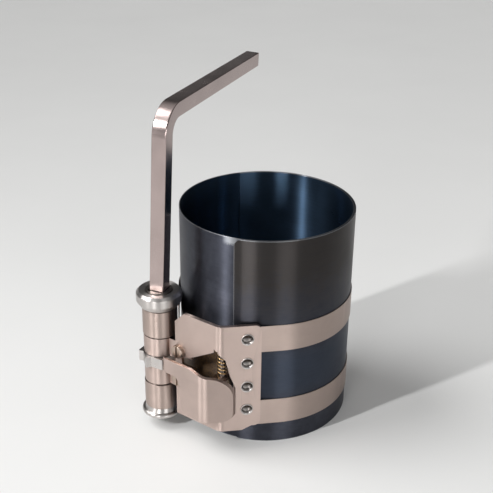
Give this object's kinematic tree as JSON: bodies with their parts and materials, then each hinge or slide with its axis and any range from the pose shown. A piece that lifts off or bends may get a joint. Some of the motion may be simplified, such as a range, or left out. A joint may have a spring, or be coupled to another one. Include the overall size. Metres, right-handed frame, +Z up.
{
  "type": "piston ring compressor",
  "caption": "Rolled spring-steel sleeve with tension bands wound by a key-turned ratchet arbor; squeezes piston rings flush so a piston can slide into its cylinder.",
  "frame": {"origin": "sleeve axis at the plane of the sleeve's lower rim", "axes": "+Z up along the sleeve's axis, -Y towards the front, where the ratchet frame is, +X to the right"},
  "size_m": [0.0863, 0.1069, 0.1349],
  "materials": {
    "blued_steel": "blued spring steel, satin",
    "band_steel": "bright rolled strip",
    "plated_sheet": "warm nickel plate",
    "plated_turned": "nickel plate over turned steel",
    "key_steel": "plated drawn bar",
    "arbor_steel": "oiled dark steel",
    "screw_steel": "yellow passivated",
    "spring_wire": "drawn wire"
  },
  "bodies": {
    "sleeve_and_frame": {"sleeve": "blued_steel", "upper_band": "band_steel", "lower_band": "band_steel", "sleeve_rivets": "plated_turned", "ratchet_frame": "plated_sheet", "band_anchor_strip": "plated_sheet", "flange_rivets": "plated_turned", "upper_clamp_nut": "screw_steel", "lower_clamp_nut": "screw_steel", "pawl_pin": "arbor_steel"},
    "winding_arbor": {"arbor": "arbor_steel", "arbor_head": "plated_turned", "lower_flange": "plated_turned", "ratchet_wheel": "plated_turned", "wheel_pin": "arbor_steel", "upper_band_coil": "band_steel", "lower_band_coil": "band_steel"},
    "square_key": {"key": "key_steel"},
    "pawl": {"release_pawl": "plated_sheet", "pawl_spring": "spring_wire"},
    "upper_screw": {"upper_clamp_screw": "screw_steel"},
    "lower_screw": {"lower_clamp_screw": "screw_steel"}
  },
  "joints": [
    {"name": "arbor_turn", "type": "hinge", "parent": "sleeve_and_frame", "child": "winding_arbor", "pos_m": [-0.04172, -0.02053, 0.0315], "axis": [0, 0, 1], "range_deg": [-405, 1350]},
    {"name": "key_lift", "type": "slide", "parent": "winding_arbor", "child": "square_key", "axis": [0.0436, 0, 0.999], "range_m": [0, 0.04]},
    {"name": "pawl_rock", "type": "hinge", "parent": "sleeve_and_frame", "child": "pawl", "pos_m": [-0.01655, -0.03567, 0.0265], "axis": [0, 0, 1], "range_deg": [-5, 6], "stiffness_Nm_per_rad": 0.03, "springref_deg": -20.05, "deforming": ["pawl_spring"]},
    {"name": "upper_screw_turn", "type": "hinge", "parent": "sleeve_and_frame", "child": "upper_screw", "pos_m": [-0.03257, -0.02716, 0.03805], "axis": [-0.5864, -0.81, 0], "range_deg": [-45, 180]},
    {"name": "lower_screw_turn", "type": "hinge", "parent": "sleeve_and_frame", "child": "lower_screw", "pos_m": [-0.03257, -0.02716, 0.02495], "axis": [-0.5864, -0.81, 0], "range_deg": [-45, 180]}
  ]
}
